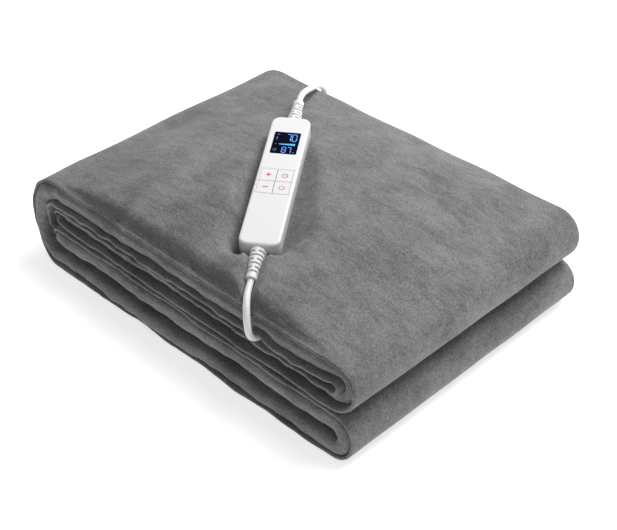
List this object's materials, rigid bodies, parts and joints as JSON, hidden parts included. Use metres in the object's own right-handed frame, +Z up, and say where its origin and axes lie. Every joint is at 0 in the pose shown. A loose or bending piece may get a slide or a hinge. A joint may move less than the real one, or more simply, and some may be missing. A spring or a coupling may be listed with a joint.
{
  "type": "heated throw blanket with hand controller",
  "caption": "Folded grey fleece heating blanket with a slim white hand controller, display, four push keys, lead and mains cord.",
  "frame": {"origin": "middle of the folded pile's footprint, on the surface it lies on, without the cords", "axes": "+X from the spine fold to the two stacked folds, along the pile's longer side; -Y is the front where the layers show; +Z up, through the pile's thickness"},
  "size_m": [0.42, 0.4012, 0.1314],
  "materials": {
    "fleece": "brushed flannel fleece, matte, short nap",
    "hem_tape": "woven binding",
    "white_plastic": "fine satin ABS",
    "pale_plastic": "fine satin ABS",
    "dark_window": "smoked glossy acrylic",
    "display": "dark display",
    "light_guide": "clear milky acrylic",
    "board": "solder-masked laminate",
    "black_plastic": "satin",
    "blue_plastic": "satin",
    "green_plastic": "satin",
    "steel": "plated",
    "nickel": "nickel plated",
    "ceramic": "dull",
    "cord_sleeve": "smooth flexible PVC",
    "wire_sleeve": "smooth silicone"
  },
  "bodies": {
    "blanket": {"fleece_outer_ply": "fleece", "fleece_inner_ply": "fleece", "upper_hem_binding": "hem_tape", "lower_hem_binding": "hem_tape", "heating_wire": "wire_sleeve", "controller_bottom_shell": "pale_plastic", "controller_top_shell": "white_plastic", "case_screw_1": "steel", "case_screw_2": "steel", "case_screw_3": "steel", "case_screw_4": "steel", "display_window": "dark_window", "display_panel": "display", "display_light_guide": "light_guide", "switch_body_plus": "black_plastic", "switch_body_minus": "black_plastic", "switch_body_timer": "black_plastic", "switch_body_power": "black_plastic", "circuit_board": "board", "power_relay": "blue_plastic", "heater_triac": "black_plastic", "terminal_block_mains": "green_plastic", "terminal_block_heater": "green_plastic", "mains_fuse": "ceramic", "smoothing_capacitor": "blue_plastic", "mains_strain_relief": "cord_sleeve", "lead_strain_relief": "cord_sleeve", "mains_inner_lead": "cord_sleeve", "heater_inner_lead": "cord_sleeve", "connector_socket": "black_plastic", "connector_plug": "black_plastic", "connector_contact_1": "nickel", "connector_contact_2": "nickel", "connector_contact_3": "nickel", "connector_strain_relief": "black_plastic", "overheat_thermostat": "ceramic", "blanket_lead": "cord_sleeve", "mains_cord": "cord_sleeve", "mains_cord_coil": "cord_sleeve", "mains_cord_tail": "cord_sleeve", "plug_body": "white_plastic", "plug_pin_1": "nickel", "plug_pin_2": "nickel", "plug_strain_relief": "white_plastic"},
    "plus_key": {"key_plus": "white_plastic", "switch_plunger_plus": "steel"},
    "minus_key": {"key_minus": "white_plastic", "switch_plunger_minus": "steel"},
    "timer_key": {"key_timer": "white_plastic", "switch_plunger_timer": "steel"},
    "power_key": {"key_power": "white_plastic", "switch_plunger_power": "steel"}
  },
  "joints": [
    {"name": "plus_key_press", "type": "slide", "parent": "blanket", "child": "plus_key", "axis": [-0.0661, 0.0919, -0.9936], "range_m": [0, 0.0006], "stiffness_N_per_m": 900, "springref_m": -0.0006},
    {"name": "minus_key_press", "type": "slide", "parent": "blanket", "child": "minus_key", "axis": [-0.0661, 0.0919, -0.9936], "range_m": [0, 0.0006], "stiffness_N_per_m": 900, "springref_m": -0.0006},
    {"name": "timer_key_press", "type": "slide", "parent": "blanket", "child": "timer_key", "axis": [-0.0661, 0.0919, -0.9936], "range_m": [0, 0.0006], "stiffness_N_per_m": 900, "springref_m": -0.0006},
    {"name": "power_key_press", "type": "slide", "parent": "blanket", "child": "power_key", "axis": [-0.0661, 0.0919, -0.9936], "range_m": [0, 0.0006], "stiffness_N_per_m": 900, "springref_m": -0.0006}
  ]
}
